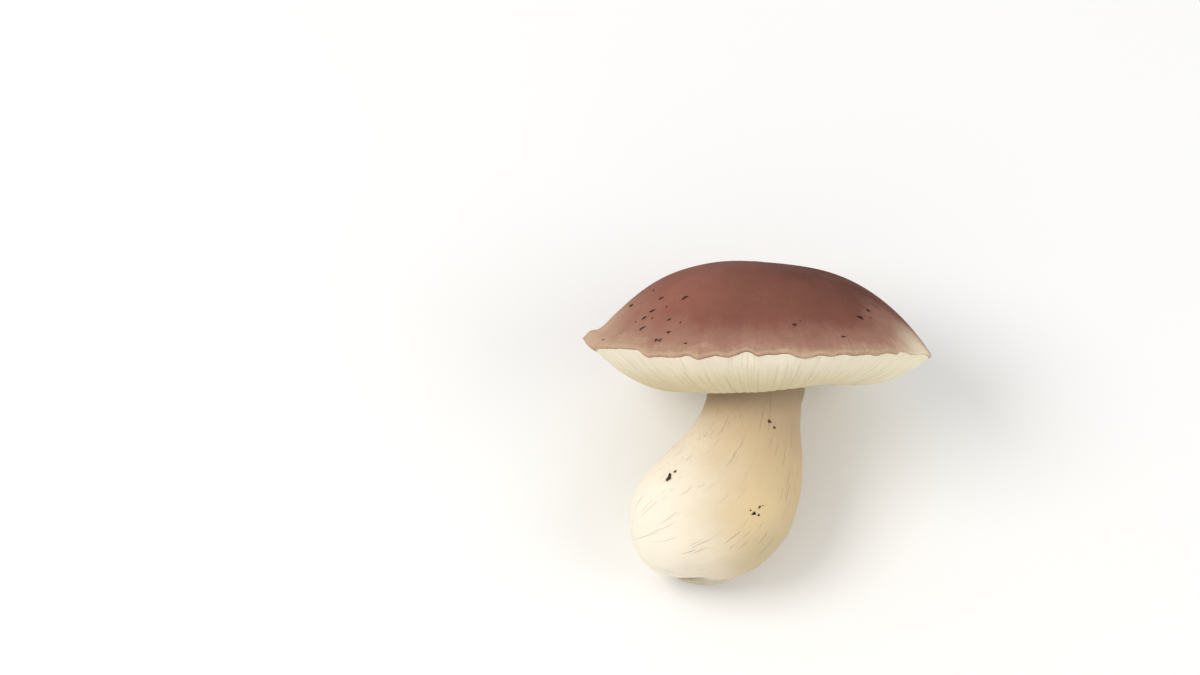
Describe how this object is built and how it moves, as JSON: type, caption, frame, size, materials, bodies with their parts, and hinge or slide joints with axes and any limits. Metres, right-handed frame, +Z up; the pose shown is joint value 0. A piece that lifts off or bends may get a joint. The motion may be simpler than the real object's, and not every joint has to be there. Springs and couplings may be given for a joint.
{
  "type": "porcini mushroom",
  "caption": "Whole porcini mushroom lying on its side: wide brown cap with a wavy rim, cream tube layer and a bent, bulbous stem.",
  "frame": {"origin": "middle of the bounding box's underside, on the surface that the mushroom lies on", "axes": "+Z up from the surface; +Y from the bulb of the stem towards the cap; +X across the cap, to the side that the picture shows on the right"},
  "size_m": [0.12, 0.1104, 0.1027],
  "materials": {
    "cap_skin": "matte",
    "pore_layer": "matte",
    "stem_flesh": "matte"
  },
  "bodies": {
    "root": {"cap": "cap_skin", "pore_layer": "pore_layer", "stem": "stem_flesh"}
  },
  "joints": []
}
